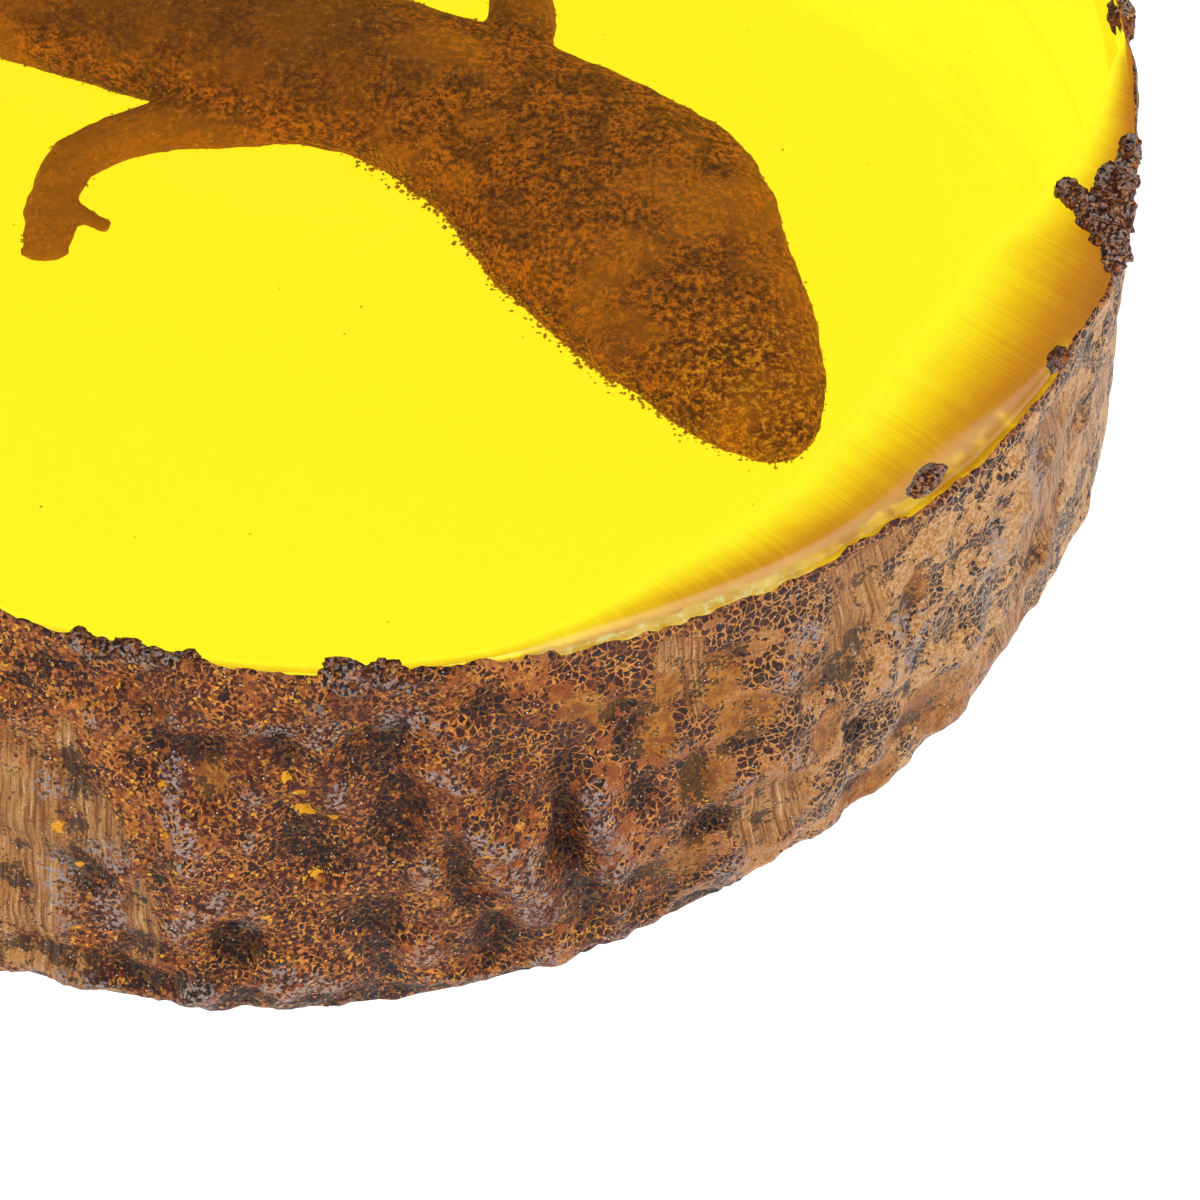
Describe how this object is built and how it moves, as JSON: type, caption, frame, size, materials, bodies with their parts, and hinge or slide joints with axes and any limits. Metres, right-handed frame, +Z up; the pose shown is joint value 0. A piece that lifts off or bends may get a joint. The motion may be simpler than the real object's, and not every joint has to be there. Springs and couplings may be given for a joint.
{
  "type": "lizard in resin slab",
  "caption": "Dried lizard sealed in a thick round slab of clear yellow resin, ringed by a lumpy crackled brown crust, for display on a flat surface.",
  "frame": {"origin": "on the flat lower face, under the middle of the slab", "axes": "+X to the right across the face, towards the lizard's snout; +Y to the back; +Z up, out of the upper face"},
  "size_m": [0.0967, 0.0951, 0.0287],
  "materials": {
    "resin": "clear yellow cast resin, upper face ground and polished with fine scratches",
    "lizard": "dried scaly skin, mottled brown, matt",
    "crust": "crackled red-brown and dark plum crust with honey patches, semi-gloss"
  },
  "bodies": {
    "root": {"resin_lower": "resin", "resin_upper": "resin", "lizard": "lizard", "crust": "crust"}
  },
  "joints": []
}
